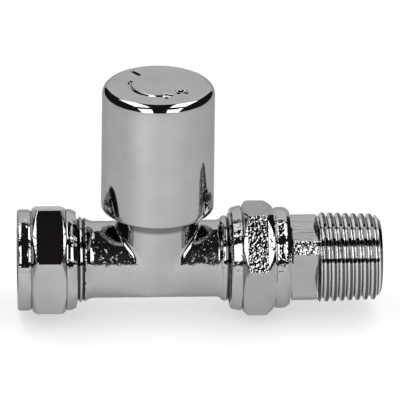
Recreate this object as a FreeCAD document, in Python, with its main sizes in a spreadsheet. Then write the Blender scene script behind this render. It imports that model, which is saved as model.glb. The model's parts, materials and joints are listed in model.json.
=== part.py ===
import FreeCAD, Part
import math
import os
import re
import Sketcher

# Chrome-plated straight manual radiator valve for 15 mm pipe, shown closed.
# Frame: the origin is the centre of the pipe stop in the inlet socket, +X runs along the
# waterway towards the radiator and +Z runs up the spindle to the cap.

# Driving dimensions: lengths in millimetres, turns in degrees, counts as plain numbers.
SIZES = {
    # inlet socket, waterway and cast tube
    "pipe_dia": 15.0,
    "pipe_clearance": 0.1,
    "socket_depth": 12.0,
    "spindle_offset": 14.0,
    "outlet_reach": 25.0,
    "waterway_dia": 12.4,
    "passage_dia": 9.2,
    "inlet_passage_drop": 2.6,
    "inlet_passage_end": 4.5,
    "outlet_passage_rise": 1.5,
    "outlet_passage_start": 6.0,
    "outlet_bore_margin": 2.6,
    "tube_dia": 17.8,
    "flare_rise": 1.0,
    "inlet_flare_length": 3.7,
    "outlet_flare_length": 1.8,
    "inlet_collar_length": 1.3,
    "outlet_collar_length": 0.6,
    # male threads at both ends, drawn at their major diameter
    "thread_dia": 20.8,
    "thread_clearance": 0.1,
    "thread_lead": 0.8,
    "inlet_thread_length": 7.5,
    "outlet_thread_length": 8.7,
    # neck and valve seat
    "neck_dia": 18.6,
    "neck_height": 17.5,
    "neck_edge": 0.4,
    "neck_root_depth": 2.0,
    "neck_root_taper": 1.0,
    "neck_root_rise": 1.0,
    "neck_fillet": 1.2,
    "neck_shoulder": 0.4,
    "neck_shoulder_height": 12.2,
    "seat_height": 3.8,
    "seat_lip_height": 0.6,
    "seat_lip_width": 1.0,
    "seat_bore_dia": 8.0,
    # compression nut and olive
    "nut_flats": 24.0,
    "nut_gap": 0.2,
    "nut_edge": 0.5,
    "compression_nut_length": 13.5,
    "compression_collar_dia": 23.4,
    "compression_front_collar": 3.4,
    "compression_hex_length": 7.7,
    "compression_hex_chamfer": 1.1,
    "compression_tail_chamfer": 1.0,
    "compression_nut_turn": 9.0,
    "pipe_hole_clearance": 0.25,
    "olive_clearance": 0.05,
    "olive_length": 6.0,
    "olive_land": 1.2,
    "olive_crown": 1.2,
    "olive_end": 0.45,
    "olive_standoff": 1.0,
    "olive_gap": 0.1,
    # union nut, seal and tail
    "union_nut_gap": 0.5,
    "union_nut_length": 13.7,
    "union_front_collar_dia": 24.2,
    "union_back_collar_dia": 23.4,
    "union_front_collar": 2.8,
    "union_front_chamfer": 0.9,
    "union_hex_length": 7.1,
    "union_hex_front_chamfer": 1.2,
    "union_hex_back_chamfer": 1.8,
    "union_back_chamfer": 0.8,
    "union_nut_turn": 20.0,
    "union_seal_thickness": 1.2,
    "union_seal_width": 2.8,
    "tail_collar_length": 2.0,
    "tail_collar_clearance": 0.7,
    "tail_neck_wall": 2.15,
    "tail_neck_clearance": 0.15,
    "tail_ring_gap": 0.15,
    "tail_ring_length": 0.35,
    "tail_ring_rise": 0.9,
    "tail_flats": 16.2,
    "tail_corner_dia": 19.9,
    "tail_square_length": 5.1,
    "tail_shoulder_length": 1.5,
    "tail_turn": 8.1,
    "tail_thread_dia": 20.6,
    "tail_thread_length": 14.1,
    "tail_thread_lead": 0.9,
    # bonnet with its washer
    "bonnet_washer_thickness": 0.8,
    "bonnet_washer_margin": 0.3,
    "bonnet_thread_dia": 14.8,
    "bonnet_nose_length": 5.7,
    "bonnet_flats": 17.0,
    "bonnet_flange_height": 3.8,
    "bonnet_thread_depth": 2.2,
    "hex_chamfer": 0.7,
    "edge_chamfer": 0.5,
    # gland: ring seal, packing, follower and nut
    "ring_groove_floor": 2.7,
    "ring_groove_height": 1.6,
    "ring_groove_depth": 1.5,
    "ring_section_dia": 1.36,
    "box_floor": 4.9,
    "box_width": 1.5,
    "box_depth": 3.5,
    "packing_height": 2.0,
    "follower_height": 2.0,
    "turret_dia": 12.4,
    "gland_gap": 0.8,
    "gland_flats": 15.0,
    "gland_top_thickness": 2.0,
    # spindle
    "spindle_dia": 7.0,
    "running_clearance": 0.05,
    "spindle_clearance": 0.1,
    "spindle_thread_dia": 8.9,
    "spindle_thread_length": 6.6,
    "spindle_top_gap": 0.1,
    "spline_count": 12,
    "spline_depth": 0.5,
    "spline_width": 0.8,
    "spline_clearance": 0.1,
    # jumper with its washer and screw
    "jumper_clearance": 0.65,
    "jumper_rim_width": 0.45,
    "jumper_rim_height": 0.8,
    "jumper_disc_height": 2.0,
    "jumper_boss_dia": 6.6,
    "jumper_boss_height": 1.0,
    "jumper_stem_dia": 3.8,
    "jumper_stem_length": 4.0,
    "jumper_gap": 0.1,
    "seat_washer_thickness": 2.4,
    "seat_washer_clearance": 0.1,
    "washer_screw_dia": 2.8,
    "washer_screw_reach": 2.2,
    "washer_screw_head_dia": 5.4,
    "washer_screw_head_height": 1.3,
    "screw_clearance": 0.05,
    "slot_width": 0.9,
    "slot_depth": 0.7,
    # cap with its carrier, washer and screw
    "cap_dia": 26.0,
    "cap_top_dia": 25.7,
    "cap_height": 30.2,
    "cap_wall": 1.6,
    "cap_top_thickness": 2.0,
    "cap_ledge_width": 1.0,
    "cap_round": 2.3,
    "cap_rim_chamfer": 0.4,
    "cap_head_room": 3.7,
    "carrier_fit": 0.05,
    "carrier_rise": 1.2,
    "carrier_height": 7.6,
    "carrier_lid": 1.4,
    "carrier_web": 2.0,
    "carrier_rim_wall": 1.3,
    "carrier_rim_rise": 0.6,
    "carrier_hub_dia": 11.0,
    "carrier_rib_count": 6,
    "carrier_rib_width": 1.2,
    "carrier_screw_dia": 3.4,
    "carrier_screw_length": 6.0,
    "carrier_screw_head_dia": 6.8,
    "carrier_screw_head_height": 2.0,
    "screw_washer_dia": 8.0,
    "screw_washer_thickness": 0.5,
}

# Places and sizes worked out from the driving dimensions.
PLACES = {
    "pipe_bore": "pipe_dia / 2 + pipe_clearance",
    "pipe_hole": "pipe_dia / 2 + pipe_hole_clearance",
    "tube_radius": "tube_dia / 2",
    "collar_radius": "tube_radius + flare_rise",
    "thread_radius": "thread_dia / 2",
    "nut_bore": "thread_radius + thread_clearance",
    # stations along the waterway, from the spindle axis
    "pipe_stop": "-spindle_offset",
    "inlet_mouth": "pipe_stop - socket_depth",
    "inlet_shoulder": "inlet_mouth + inlet_thread_length",
    "inlet_flare": "inlet_shoulder + inlet_collar_length",
    "outlet_shoulder": "outlet_reach - outlet_thread_length",
    "outlet_flare": "outlet_shoulder - outlet_collar_length",
    # olive cone, shared by the socket's mouth and the compression nut
    "olive_bore": "pipe_dia / 2 + olive_clearance",
    "olive_crown_radius": "olive_bore + olive_crown",
    "olive_slope": "2 * (olive_crown - olive_end) / (olive_length - olive_land)",
    "cone_radius": "olive_crown_radius - olive_slope * (olive_standoff - olive_land / 2) + olive_gap",
    "socket_cone": "(cone_radius - pipe_bore) / olive_slope",
    "nut_cone": "(cone_radius - pipe_hole) / olive_slope",
    "olive_place": "-socket_depth - olive_standoff",
    "compression_nut_place": "spindle_offset + inlet_shoulder - nut_gap - compression_nut_length",
    "nut_cone_end": "olive_place - olive_standoff - compression_nut_place",
    # union stations along the waterway
    "union_nut_place": "spindle_offset + outlet_shoulder + union_nut_gap",
    "seal_place": "spindle_offset + outlet_reach",
    "tail_place": "seal_place + union_seal_thickness",
    "union_bore_depth": "tail_place + tail_collar_length + nut_gap / 2 - union_nut_place",
    "tail_bore": "waterway_dia / 2",
    "tail_neck_radius": "tail_bore + tail_neck_wall",
    "union_hole": "tail_neck_radius + tail_neck_clearance",
    "tail_ring": "union_nut_place + union_nut_length + tail_ring_gap - tail_place",
    "tail_square": "tail_ring + tail_ring_length",
    "tail_shoulder": "tail_square + tail_square_length",
    "tail_thread": "tail_shoulder + tail_shoulder_length",
    "tail_end": "tail_thread + tail_thread_length",
    # heights up the spindle axis
    "bonnet_bore": "bonnet_thread_dia / 2 + thread_clearance",
    "neck_bore": "bonnet_bore - neck_shoulder",
    "bonnet_place": "neck_height + bonnet_washer_thickness",
    "ring_place": "bonnet_place + ring_groove_floor + ring_groove_height / 2",
    "packing_place": "bonnet_place + box_floor",
    "follower_place": "packing_place + packing_height",
    "gland_place": "bonnet_place + bonnet_flange_height + gland_gap",
    "gland_bore_depth": "follower_place + follower_height - gland_place",
    "gland_height": "gland_bore_depth + gland_top_thickness",
    "jumper_place": "seat_height + seat_washer_thickness",
    "jumper_top": "jumper_disc_height + jumper_boss_height",
    "spindle_place": "jumper_place + jumper_top + jumper_gap",
    "carrier_place": "gland_place + gland_height + carrier_rise",
    "carrier_top": "carrier_place + carrier_height",
    "cap_place": "carrier_top + cap_head_room + cap_top_thickness - cap_height",
    "screw_place": "carrier_top + screw_washer_thickness",
    # radii about the spindle axis
    "spindle_radius": "spindle_dia / 2",
    "spindle_bore": "spindle_radius + spindle_clearance",
    "spindle_length": "carrier_top - carrier_lid - spindle_top_gap - spindle_place",
    "spline_start": "carrier_place - spline_clearance - spindle_place",
    "spline_floor": "spindle_radius - spline_depth",
    "box_radius": "spindle_bore + box_width",
    "jumper_radius": "neck_bore - jumper_clearance",
    "jumper_cup": "jumper_radius - jumper_rim_width",
    "cap_bore": "cap_dia / 2 - cap_wall",
    "carrier_rim": "cap_bore - carrier_fit",
    "carrier_rim_inner": "carrier_rim - carrier_rim_wall",
    "carrier_web_floor": "carrier_height - carrier_web",
    "carrier_screw_hole": "carrier_screw_dia / 2 + spindle_clearance",
}

AXIS_X = FreeCAD.Vector(1, 0, 0)
WORD = re.compile(r"[a-z][a-z_]+")
# Corners of a new outline start on a circle of this radius, and their bound distances place them.
START_RADIUS = 20.0
# An edge counts as lying at a level when it is no further from it than this.
LEVEL_TOLERANCE = 0.0001

doc = FreeCAD.newDocument("radiator_valve")
sheet = doc.addObject("Spreadsheet::Sheet", "Sizes")
for row, (alias, size) in enumerate(SIZES.items(), start=1):
    sheet.set(f"A{row}", alias)
    sheet.set(f"B{row}", str(size))
    sheet.setAlias(f"B{row}", alias)
doc.recompute()


def bound(formula):
    """Spell a formula of named sizes and places as an expression on the sheet's cells."""
    def cell(match):
        word = match.group(0)
        if word in PLACES:
            return "(" + bound(PLACES[word]) + ")"
        return "Sizes." + word if word in SIZES else word
    return WORD.sub(cell, formula)


def bind(owner, **formulas):
    """Bind properties of an object, with two underscores for a dot, to formulas."""
    for name, formula in formulas.items():
        owner.setExpression(name.replace("__", "."), bound(formula))


def place(piece, x="0", z="0", turn=None):
    """Put a piece at a station along X and a height, with a turn about its X axis if it has one."""
    if turn:
        piece.Placement = FreeCAD.Placement(FreeCAD.Vector(), FreeCAD.Rotation(AXIS_X, SIZES[turn]))
        bind(piece, Placement__Rotation__Angle=turn)
    bind(piece, Placement__Base__x=x, Placement__Base__z=z)


def new_body(label, **where):
    body = doc.addObject("PartDesign::Body", label)
    body.Label = label
    place(body, **where)
    return body


def origin_feature(body, role):
    return next(feature for feature in body.Origin.OriginFeatures if feature.Role == role)


def new_sketch(body, name, role, offset):
    sketch = body.newObject("Sketcher::SketchObject", f"{body.Name}_{name}_sketch")
    sketch.AttachmentSupport = [(origin_feature(body, role), "")]
    sketch.MapMode = "FlatFace"
    bind(sketch, AttachmentOffset__Base__z=offset)
    return sketch


def tie_point(sketch, element, position, start, formulas):
    """Tie a point of a sketch to the sketch's origin by two bound distances."""
    for kind, distance, formula in zip(("DistanceX", "DistanceY"), start, formulas):
        index = sketch.addConstraint(Sketcher.Constraint(kind, -1, 1, element, position, distance))
        sketch.setExpression(f"Constraints[{index}]", bound(formula))


def outline(body, name, role, corners, offset="0"):
    """A closed sketch of straight edges through corners given as pairs of formulas."""
    sketch = new_sketch(body, name, role, offset)
    count = len(corners)
    angles = [2 * math.pi * index / count for index in range(count)]
    starts = [FreeCAD.Vector(START_RADIUS * math.cos(a), START_RADIUS * math.sin(a), 0) for a in angles]
    for index in range(count):
        sketch.addGeometry(Part.LineSegment(starts[index], starts[(index + 1) % count]))
    for index in range(count):
        sketch.addConstraint(Sketcher.Constraint("Coincident", index, 2, (index + 1) % count, 1))
    for index, corner in enumerate(corners):
        tie_point(sketch, index, 1, (starts[index].x, starts[index].y), corner)
    return sketch


def disc(body, name, role, centre, radius, offset="0"):
    """A sketch of one circle."""
    sketch = new_sketch(body, name, role, offset)
    sketch.addGeometry(Part.Circle(FreeCAD.Vector(1, 1, 0), FreeCAD.Vector(0, 0, 1), START_RADIUS))
    tie_point(sketch, 0, 3, (1, 1), centre)
    index = sketch.addConstraint(Sketcher.Constraint("Radius", 0, START_RADIUS))
    sketch.setExpression(f"Constraints[{index}]", bound(radius))
    return sketch


def settle(body, feature, cuts):
    """Recompute after a feature and make sure that it added or removed material."""
    before = body.Tip.Shape.Volume if body.Tip and body.Tip != feature else 0.0
    body.Tip = feature
    doc.recompute()
    change = feature.Shape.Volume - before
    if (change >= 0) if cuts else (change <= 0):
        raise ValueError(f"{feature.Name} leaves the solid as it was")
    return feature


def add_feature(body, kind, name, sketch):
    tip = body.Tip
    feature = body.newObject(f"PartDesign::{kind}", f"{body.Name}_{name}")
    body.Tip = tip
    feature.Profile = sketch
    return feature


def spin(body, name, corners, axis="V_Axis", cuts=False):
    """Add or cut a solid of revolution whose half section lies in the XZ plane."""
    sketch = outline(body, name, "XZ_Plane", corners)
    feature = add_feature(body, "Groove" if cuts else "Revolution", name, sketch)
    feature.ReferenceAxis = (sketch, [axis])
    feature.Angle = 360
    return settle(body, feature, cuts)


def extrude(body, name, sketch, length, cuts=False):
    """Add a pad, or cut a pocket, from a sketch along its normal."""
    feature = add_feature(body, "Pocket" if cuts else "Pad", name, sketch)
    feature.Reversed = cuts
    bind(feature, Length=length)
    return settle(body, feature, cuts)


def repeat_round(body, feature, name, count, cuts=False):
    """Repeat a feature evenly about the body's Z axis."""
    tip = body.Tip
    pattern = body.newObject("PartDesign::PolarPattern", f"{body.Name}_{name}")
    body.Tip = tip
    pattern.Originals = [feature]
    pattern.Axis = (origin_feature(body, "Z_Axis"), [""])
    pattern.Angle = 360
    bind(pattern, Occurrences=count)
    return settle(body, pattern, cuts)


def round_edges(body, name, radius, wanted):
    """Round every edge of the body that the test picks out."""
    base = body.Tip
    edges = [f"Edge{index}" for index, edge in enumerate(base.Shape.Edges, start=1) if wanted(edge)]
    fillet = body.newObject("PartDesign::Fillet", f"{body.Name}_{name}")
    fillet.Base = (base, edges)
    bind(fillet, Radius=radius)
    body.Tip = fillet
    doc.recompute()
    return fillet


def hexagon(body, name, role, flats, start, length):
    """A hexagonal prism with two of its flats facing along the sketch's X axis."""
    flat = f"{flats} / 2"
    half_side = f"{flats} / (2 * sqrt(3))"
    point = f"{flats} / sqrt(3)"
    corners = (
        (flat, half_side), ("0", point), (f"-({flat})", half_side),
        (f"-({flat})", f"-({half_side})"), ("0", f"-({point})"), (flat, f"-({half_side})"),
    )
    return extrude(body, name, outline(body, name, role, corners, start), length)


def hex_bevel(body, name, flats, end, depth, axis):
    """Turn the corners off one end of a hexagon: a cone that starts at the flats' own circle."""
    flat = f"{flats} / 2"
    run = f"({depth}) / (2 / sqrt(3) - 1)"
    section = ((end, flat), (end, flats), (f"{end} + {run}", flats))
    if axis == "V_Axis":
        section = tuple((radius, along) for along, radius in section)
    return spin(body, name, section, axis, cuts=True)


def ring(label, inner, outer, height, **where):
    """A flat ring about the spindle axis, standing on its place."""
    body = new_body(label, **where)
    spin(body, "section", ((inner, "0"), (outer, "0"), (outer, height), (inner, height)))
    return body


def is_end_circle(body, edge, top):
    """True for a full circle at the top or the bottom of the body's present solid."""
    box = body.Tip.Shape.BoundBox
    level = box.ZMax if top else box.ZMin
    heights = (edge.BoundBox.ZMin, edge.BoundBox.ZMax)
    at_level = all(abs(height - level) < LEVEL_TOLERANCE for height in heights)
    return at_level and edge.Curve.TypeId == "Part::GeomCircle"


def build_valve_body():
    body = new_body("valve_body", x="spindle_offset")
    spin(body, "tube", (
        ("inlet_mouth", "0"),
        ("inlet_mouth", "thread_radius - thread_lead"),
        ("inlet_mouth + thread_lead", "thread_radius"),
        ("inlet_shoulder", "thread_radius"),
        ("inlet_shoulder", "collar_radius"),
        ("inlet_flare", "collar_radius"),
        ("inlet_flare + inlet_flare_length", "tube_radius"),
        ("outlet_flare - outlet_flare_length", "tube_radius"),
        ("outlet_flare", "collar_radius"),
        ("outlet_shoulder", "collar_radius"),
        ("outlet_shoulder", "thread_radius"),
        ("outlet_reach - thread_lead", "thread_radius"),
        ("outlet_reach", "thread_radius - thread_lead"),
        ("outlet_reach", "0"),
    ), "H_Axis")
    spin(body, "neck", (
        ("0", "-neck_root_depth"),
        ("neck_dia / 2 - neck_root_taper", "-neck_root_depth"),
        ("neck_dia / 2", "neck_root_rise"),
        ("neck_dia / 2", "neck_height - neck_edge"),
        ("neck_dia / 2 - neck_edge", "neck_height"),
        ("0", "neck_height"),
    ))
    round_edges(body, "saddle", "neck_fillet", lambda e: e.Curve.TypeId == "Part::GeomBSplineCurve")
    spin(body, "socket", (
        ("inlet_mouth", "0"),
        ("inlet_mouth", "cone_radius"),
        ("inlet_mouth + socket_cone", "pipe_bore"),
        ("pipe_stop", "pipe_bore"),
        ("pipe_stop", "0"),
    ), "H_Axis", cuts=True)
    outlet_bore_start = "neck_dia / 2 + outlet_bore_margin"
    spin(body, "outlet_bore", (
        (outlet_bore_start, "0"),
        (outlet_bore_start, "waterway_dia / 2"),
        ("outlet_reach", "waterway_dia / 2"),
        ("outlet_reach", "0"),
    ), "H_Axis", cuts=True)
    spin(body, "seat", (
        ("0", "-inlet_passage_drop"),
        ("seat_bore_dia / 2", "-inlet_passage_drop"),
        ("seat_bore_dia / 2", "seat_height"),
        ("seat_bore_dia / 2 + seat_lip_width", "seat_height"),
        ("seat_bore_dia / 2 + seat_lip_width", "seat_height - seat_lip_height"),
        ("neck_bore", "seat_height - seat_lip_height"),
        ("neck_bore", "neck_shoulder_height"),
        ("bonnet_bore", "neck_shoulder_height"),
        ("bonnet_bore", "neck_height"),
        ("0", "neck_height"),
    ), cuts=True)
    inlet = disc(
        body, "inlet_passage", "YZ_Plane", ("0", "-inlet_passage_drop"), "passage_dia / 2",
        "pipe_stop",
    )
    extrude(body, "inlet_passage", inlet, "inlet_passage_end - (pipe_stop)", cuts=True)
    outlet = disc(
        body, "outlet_passage", "YZ_Plane", ("0", "outlet_passage_rise"), "passage_dia / 2",
        "outlet_passage_start",
    )
    extrude(body, "outlet_passage", outlet, f"{outlet_bore_start} - outlet_passage_start", cuts=True)
    return body


def build_compression_nut():
    body = new_body("compression_nut", x="compression_nut_place", turn="compression_nut_turn")
    hex_start = "compression_front_collar"
    hex_end = "compression_front_collar + compression_hex_length"
    hexagon(body, "hex", "YZ_Plane", "nut_flats", hex_start, "compression_hex_length")
    hex_bevel(body, "front_bevel", "nut_flats", hex_start, "compression_hex_chamfer", "H_Axis")
    hex_bevel(body, "back_bevel", "nut_flats", hex_end, "-compression_hex_chamfer", "H_Axis")
    spin(body, "collars", (
        ("0", "0"),
        ("0", "compression_collar_dia / 2 - nut_edge"),
        ("nut_edge", "compression_collar_dia / 2"),
        ("compression_nut_length - compression_tail_chamfer", "compression_collar_dia / 2"),
        ("compression_nut_length", "(compression_collar_dia / 2 + nut_bore) / 2"),
        ("compression_nut_length", "0"),
    ), "H_Axis")
    spin(body, "bore", (
        ("0", "0"),
        ("0", "pipe_hole"),
        ("nut_cone_end - nut_cone", "pipe_hole"),
        ("nut_cone_end", "cone_radius"),
        ("nut_cone_end", "nut_bore"),
        ("compression_nut_length", "nut_bore"),
        ("compression_nut_length", "0"),
    ), "H_Axis", cuts=True)
    return body


def build_olive():
    body = new_body("olive", x="olive_place")
    end_radius = "olive_bore + olive_end"
    spin(body, "section", (
        ("-olive_length / 2", "olive_bore"),
        ("-olive_length / 2", end_radius),
        ("-olive_land / 2", "olive_crown_radius"),
        ("olive_land / 2", "olive_crown_radius"),
        ("olive_length / 2", end_radius),
        ("olive_length / 2", "olive_bore"),
    ), "H_Axis")
    return body


def build_union_nut():
    body = new_body("union_nut", x="union_nut_place", turn="union_nut_turn")
    hex_end = "union_front_collar + union_hex_length"
    hexagon(body, "hex", "YZ_Plane", "nut_flats", "union_front_collar", "union_hex_length")
    hex_bevel(body, "front_bevel", "nut_flats", "union_front_collar", "union_hex_front_chamfer", "H_Axis")
    hex_bevel(body, "back_bevel", "nut_flats", hex_end, "-union_hex_back_chamfer", "H_Axis")
    spin(body, "collars", (
        ("0", "0"),
        ("0", "(union_front_collar_dia / 2 + nut_bore) / 2"),
        ("union_front_chamfer", "union_front_collar_dia / 2"),
        ("union_front_collar", "union_front_collar_dia / 2"),
        (hex_end, "union_back_collar_dia / 2"),
        ("union_nut_length - union_back_chamfer", "union_back_collar_dia / 2"),
        ("union_nut_length", "union_back_collar_dia / 2 - union_back_chamfer"),
        ("union_nut_length", "0"),
    ), "H_Axis")
    spin(body, "bore", (
        ("0", "0"),
        ("0", "nut_bore"),
        ("union_bore_depth", "nut_bore"),
        ("union_bore_depth", "union_hole"),
        ("union_nut_length", "union_hole"),
        ("union_nut_length", "0"),
    ), "H_Axis", cuts=True)
    return body


def build_union_seal():
    body = new_body("union_seal", x="seal_place")
    outer = "tail_bore + union_seal_width"
    spin(body, "section", (
        ("0", "tail_bore"),
        ("0", outer),
        ("union_seal_thickness", outer),
        ("union_seal_thickness", "tail_bore"),
    ), "H_Axis")
    return body


def build_tail():
    body = new_body("tail", x="tail_place", turn="tail_turn")
    collar = "nut_bore - tail_collar_clearance"
    ring_radius = "tail_neck_radius + tail_ring_rise"
    flat = "tail_flats / 2"
    square = outline(body, "square", "YZ_Plane", (
        (flat, flat), (f"-({flat})", flat), (f"-({flat})", f"-({flat})"), (flat, f"-({flat})"),
    ), "tail_square")
    extrude(body, "square", square, "tail_thread - tail_square")
    spin(body, "corners", (
        ("tail_square", "tail_corner_dia / 2"),
        ("tail_square", "tail_flats"),
        ("tail_thread", "tail_flats"),
        ("tail_thread", "tail_corner_dia / 2"),
    ), "H_Axis", cuts=True)
    spin(body, "turned", (
        ("0", "0"),
        ("0", collar),
        ("tail_collar_length", collar),
        ("tail_collar_length", "tail_neck_radius"),
        ("tail_ring", "tail_neck_radius"),
        ("tail_ring", ring_radius),
        ("tail_square", ring_radius),
        ("tail_square", flat),
        ("tail_shoulder", flat),
        ("tail_thread", "tail_thread_dia / 2"),
        ("tail_end - tail_thread_lead", "tail_thread_dia / 2"),
        ("tail_end", "tail_thread_dia / 2 - tail_thread_lead"),
        ("tail_end", "0"),
    ), "H_Axis")
    spin(body, "bore", (
        ("0", "0"), ("0", "tail_bore"), ("tail_end", "tail_bore"), ("tail_end", "0"),
    ), "H_Axis", cuts=True)
    return body


def build_bonnet():
    body = new_body("bonnet", x="spindle_offset", z="bonnet_place")
    turret_top = "box_floor + box_depth"
    thread = "bonnet_thread_dia / 2"
    hexagon(body, "hex", "XY_Plane", "bonnet_flats", "0", "bonnet_flange_height")
    hex_bevel(body, "bevel", "bonnet_flats", "bonnet_flange_height", "-hex_chamfer", "V_Axis")
    spin(body, "turned", (
        ("0", "-bonnet_nose_length"),
        (f"{thread} - edge_chamfer", "-bonnet_nose_length"),
        (thread, "edge_chamfer - bonnet_nose_length"),
        (thread, "0"),
        ("turret_dia / 2", "0"),
        ("turret_dia / 2", f"{turret_top} - edge_chamfer"),
        ("turret_dia / 2 - edge_chamfer", turret_top),
        ("0", turret_top),
    ))
    thread_bore = "spindle_thread_dia / 2 + thread_clearance"
    groove_radius = "spindle_bore + ring_groove_depth - spindle_clearance"
    groove_top = "ring_groove_floor + ring_groove_height"
    spin(body, "bore", (
        ("0", "-bonnet_nose_length"),
        (thread_bore, "-bonnet_nose_length"),
        (thread_bore, "bonnet_thread_depth"),
        ("spindle_bore", "bonnet_thread_depth"),
        ("spindle_bore", "ring_groove_floor"),
        (groove_radius, "ring_groove_floor"),
        (groove_radius, groove_top),
        ("spindle_bore", groove_top),
        ("spindle_bore", "box_floor"),
        ("box_radius", "box_floor"),
        ("box_radius", turret_top),
        ("0", turret_top),
    ), cuts=True)
    return body


def build_gland_nut():
    body = new_body("gland_nut", x="spindle_offset", z="gland_place")
    bore = "turret_dia / 2 + thread_clearance"
    hexagon(body, "hex", "XY_Plane", "gland_flats", "0", "gland_height")
    hex_bevel(body, "bevel", "gland_flats", "gland_height", "-hex_chamfer", "V_Axis")
    spin(body, "bore", (
        ("0", "0"),
        (bore, "0"),
        (bore, "gland_bore_depth"),
        ("spindle_bore", "gland_bore_depth"),
        ("spindle_bore", "gland_height"),
        ("0", "gland_height"),
    ), cuts=True)
    return body


def build_spindle_ring():
    seal = doc.addObject("Part::Torus", "spindle_o_ring")
    seal.Label = "spindle_o_ring"
    bind(
        seal, Radius1="spindle_radius + running_clearance + ring_section_dia / 2",
        Radius2="ring_section_dia / 2",
    )
    place(seal, x="spindle_offset", z="ring_place")
    return seal


def build_spindle():
    body = new_body("spindle", x="spindle_offset", z="spindle_place")
    thread = "spindle_thread_dia / 2"
    spin(body, "turned", (
        ("0", "0"),
        (f"{thread} - edge_chamfer", "0"),
        (thread, "edge_chamfer"),
        (thread, "spindle_thread_length"),
        ("spindle_radius", "spindle_thread_length + edge_chamfer"),
        ("spindle_radius", "spindle_length - edge_chamfer"),
        ("spindle_radius - edge_chamfer", "spindle_length"),
        ("0", "spindle_length"),
    ))
    socket = "jumper_stem_dia / 2 + spindle_clearance"
    socket_depth = "jumper_stem_length + spindle_clearance"
    spin(body, "jumper_socket", (
        ("0", "0"), (socket, "0"), (socket, socket_depth), ("0", socket_depth),
    ), cuts=True)
    tapping = "carrier_screw_dia / 2 + screw_clearance"
    tapping_floor = "screw_place - spindle_place - carrier_screw_length - edge_chamfer"
    spin(body, "tapping", (
        ("0", tapping_floor),
        (tapping, tapping_floor),
        (tapping, "spindle_length"),
        ("0", "spindle_length"),
    ), cuts=True)
    half_width = "spline_width / 2"
    notch = outline(body, "notch", "XY_Plane", (
        ("spline_floor", f"-{half_width}"),
        ("spindle_dia", f"-{half_width}"),
        ("spindle_dia", half_width),
        ("spline_floor", half_width),
    ), "spline_start")
    first = extrude(body, "notch", notch, "spindle_length - (spline_start)", cuts=True)
    repeat_round(body, first, "spline", "spline_count", cuts=True)
    return body


def build_jumper():
    body = new_body("jumper", x="spindle_offset", z="jumper_place")
    hole = "washer_screw_dia / 2 + screw_clearance"
    hole_depth = "washer_screw_reach + spindle_clearance"
    stem_top = "jumper_top + jumper_stem_length"
    spin(body, "section", (
        (hole, "0"),
        ("jumper_cup", "0"),
        ("jumper_cup", "-jumper_rim_height"),
        ("jumper_radius", "-jumper_rim_height"),
        ("jumper_radius", "jumper_disc_height"),
        ("jumper_boss_dia / 2", "jumper_disc_height"),
        ("jumper_boss_dia / 2", "jumper_top"),
        ("jumper_stem_dia / 2", "jumper_top"),
        ("jumper_stem_dia / 2", stem_top),
        ("0", stem_top),
        ("0", hole_depth),
        (hole, hole_depth),
    ))
    return body


def cut_slot(body, head_radius, level):
    """Cut a driver slot across a screw head, from its floor level upwards."""
    half_width = "slot_width / 2"
    slot = outline(body, "slot", "XY_Plane", (
        (f"-2 * ({head_radius})", f"-{half_width}"),
        (f"2 * ({head_radius})", f"-{half_width}"),
        (f"2 * ({head_radius})", half_width),
        (f"-2 * ({head_radius})", half_width),
    ), level)
    extrude(body, "slot", slot, "slot_depth", cuts=True)


def build_washer_screw():
    body = new_body("washer_screw", x="spindle_offset", z="seat_height")
    head = "washer_screw_head_dia / 2"
    tip = "seat_washer_thickness + washer_screw_reach"
    spin(body, "turned", (
        ("0", "-washer_screw_head_height"),
        (head, "-washer_screw_head_height"),
        (head, "0"),
        ("washer_screw_dia / 2", "0"),
        ("washer_screw_dia / 2", tip),
        ("0", tip),
    ))
    cut_slot(body, head, "-washer_screw_head_height")
    return body


def build_carrier():
    body = new_body("handle_carrier", x="spindle_offset", z="carrier_place")
    hub_bore = "spindle_radius + running_clearance"
    lid_floor = "carrier_height - carrier_lid"
    spin(body, "section", (
        ("carrier_screw_hole", "carrier_height"),
        ("carrier_rim", "carrier_height"),
        ("carrier_rim", "carrier_rim_rise"),
        ("carrier_rim_inner", "carrier_rim_rise"),
        ("carrier_rim_inner", "carrier_web_floor"),
        ("carrier_hub_dia / 2", "carrier_web_floor"),
        ("carrier_hub_dia / 2", "0"),
        (hub_bore, "0"),
        (hub_bore, lid_floor),
        ("carrier_screw_hole", lid_floor),
    ))
    tooth_half = "spline_width / 2 - spline_clearance"
    tooth = outline(body, "tooth", "XY_Plane", (
        ("spline_floor + spline_clearance", f"-({tooth_half})"),
        ("carrier_hub_dia / 2 - edge_chamfer", f"-({tooth_half})"),
        ("carrier_hub_dia / 2 - edge_chamfer", tooth_half),
        ("spline_floor + spline_clearance", tooth_half),
    ))
    first_tooth = extrude(body, "tooth", tooth, lid_floor)
    repeat_round(body, first_tooth, "spline", "spline_count")
    half_rib = "carrier_rib_width / 2"
    rib = outline(body, "rib", "XY_Plane", (
        ("carrier_hub_dia / 2 - edge_chamfer", f"-{half_rib}"),
        ("carrier_rim_inner + edge_chamfer", f"-{half_rib}"),
        ("carrier_rim_inner + edge_chamfer", half_rib),
        ("carrier_hub_dia / 2 - edge_chamfer", half_rib),
    ), "carrier_rim_rise")
    first_rib = extrude(body, "rib", rib, "carrier_web_floor - carrier_rim_rise + edge_chamfer")
    repeat_round(body, first_rib, "ribs", "carrier_rib_count")
    return body


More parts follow.
